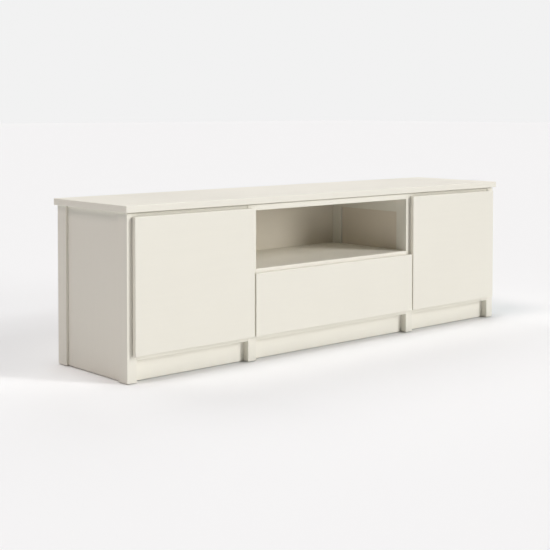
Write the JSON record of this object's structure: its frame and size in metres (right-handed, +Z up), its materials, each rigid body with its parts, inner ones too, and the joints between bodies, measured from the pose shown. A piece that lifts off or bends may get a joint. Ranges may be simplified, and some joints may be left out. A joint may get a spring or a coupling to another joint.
{
  "type": "tv stand with doors",
  "caption": "Low media cabinet on plinth-like uprights: hinged doors at both ends, an open compartment over a wide drawer in the middle.",
  "frame": {"origin": "on the floor, under the middle of the overall box", "axes": "+X along the width towards the cabinet's right end as seen from the front, +Y towards the back, +Z up; the doors and drawer face -Y"},
  "size_m": [1.8, 0.427, 0.55],
  "materials": {
    "top_lacquer": "warm off-white satin-matte lacquer with a very faint grain",
    "front_lacquer": "warm off-white satin-matte lacquer with a very faint grain",
    "carcass_lacquer": "warm off-white satin-matte lacquer with a very faint grain",
    "back_board": "thin fibreboard, painted off-white",
    "drawer_board": "off-white foil on chipboard",
    "zinc_steel": "zinc-plated pressed steel",
    "nickel": "nickel-plated steel",
    "glide_nylon": "dark nylon",
    "clear_bumper": "milky soft plastic"
  },
  "bodies": {
    "carcass": {"back_screws": "nickel", "fixed_shelf": "carcass_lacquer", "fixing_cleats": "carcass_lacquer", "floor_glides": "glide_nylon", "hinge_arm_pins": "nickel", "hinge_arms": "zinc_steel", "hinge_plate_screws": "nickel", "hinge_plates": "zinc_steel", "left_back_panel": "back_board", "left_bottom_board": "carcass_lacquer", "left_divider_front_stile": "carcass_lacquer", "left_divider_panel": "carcass_lacquer", "left_divider_rear_stile": "carcass_lacquer", "left_kick_board": "carcass_lacquer", "left_loose_shelf": "carcass_lacquer", "left_side_front_stile": "carcass_lacquer", "left_side_panel": "carcass_lacquer", "left_side_rear_stile": "carcass_lacquer", "left_top_board": "carcass_lacquer", "middle_back_panel": "back_board", "middle_bottom_board": "carcass_lacquer", "middle_kick_board": "carcass_lacquer", "middle_top_board": "carcass_lacquer", "right_back_panel": "back_board", "right_bottom_board": "carcass_lacquer", "right_divider_front_stile": "carcass_lacquer", "right_divider_panel": "carcass_lacquer", "right_divider_rear_stile": "carcass_lacquer", "right_kick_board": "carcass_lacquer", "right_loose_shelf": "carcass_lacquer", "right_side_front_stile": "carcass_lacquer", "right_side_panel": "carcass_lacquer", "right_side_rear_stile": "carcass_lacquer", "right_top_board": "carcass_lacquer", "shelf_pins": "nickel", "slide_outer_members": "zinc_steel", "slide_screws": "nickel", "top_slab": "top_lacquer"},
    "drawer": {"drawer_bottom": "drawer_board", "drawer_box_back": "drawer_board", "drawer_box_front": "drawer_board", "drawer_bumpers": "clear_bumper", "drawer_front": "front_lacquer", "drawer_front_screws": "nickel", "drawer_left_side": "drawer_board", "drawer_right_side": "drawer_board", "slide_inner_members": "zinc_steel"},
    "slide_middle": {"slide_middle_members": "zinc_steel"},
    "left_hinge_links": {"left_hinge_links": "zinc_steel"},
    "right_hinge_links": {"right_hinge_links": "zinc_steel"},
    "left_door": {"left_door": "front_lacquer", "left_door_bumpers": "clear_bumper", "left_hinge_cup_pins": "nickel", "left_hinge_cup_screws": "nickel", "left_hinge_cups": "zinc_steel"},
    "right_door": {"right_door": "front_lacquer", "right_door_bumpers": "clear_bumper", "right_hinge_cup_pins": "nickel", "right_hinge_cup_screws": "nickel", "right_hinge_cups": "zinc_steel"}
  },
  "joints": [
    {"name": "drawer_slide", "type": "slide", "parent": "carcass", "child": "drawer", "axis": [0, -1, 0], "range_m": [0, 0.34]},
    {"name": "slide_middle_travel", "type": "slide", "parent": "carcass", "child": "slide_middle", "axis": [0, -1, 0], "range_m": [0, 0.17]},
    {"name": "left_hinge_link_swing", "type": "hinge", "parent": "carcass", "child": "left_hinge_links", "pos_m": [-0.839, -0.2017, 0.164], "axis": [0, 0, -1], "range_deg": [-27, 0]},
    {"name": "left_door_swing", "type": "hinge", "parent": "left_hinge_links", "child": "left_door", "pos_m": [-0.8632, -0.1994, 0.164], "axis": [0, 0, -1], "range_deg": [0, 127]},
    {"name": "right_hinge_link_swing", "type": "hinge", "parent": "carcass", "child": "right_hinge_links", "pos_m": [0.839, -0.2017, 0.164], "axis": [0, 0, 1], "range_deg": [-27, 0]},
    {"name": "right_door_swing", "type": "hinge", "parent": "right_hinge_links", "child": "right_door", "pos_m": [0.8632, -0.1994, 0.164], "axis": [0, 0, 1], "range_deg": [0, 127]}
  ],
  "couplings": [
    {"joint": "slide_middle_travel", "follows": "drawer_slide", "ratio": 0.5},
    {"joint": "left_hinge_link_swing", "follows": "left_door_swing", "ratio": -0.2125},
    {"joint": "right_hinge_link_swing", "follows": "right_door_swing", "ratio": -0.2125}
  ]
}
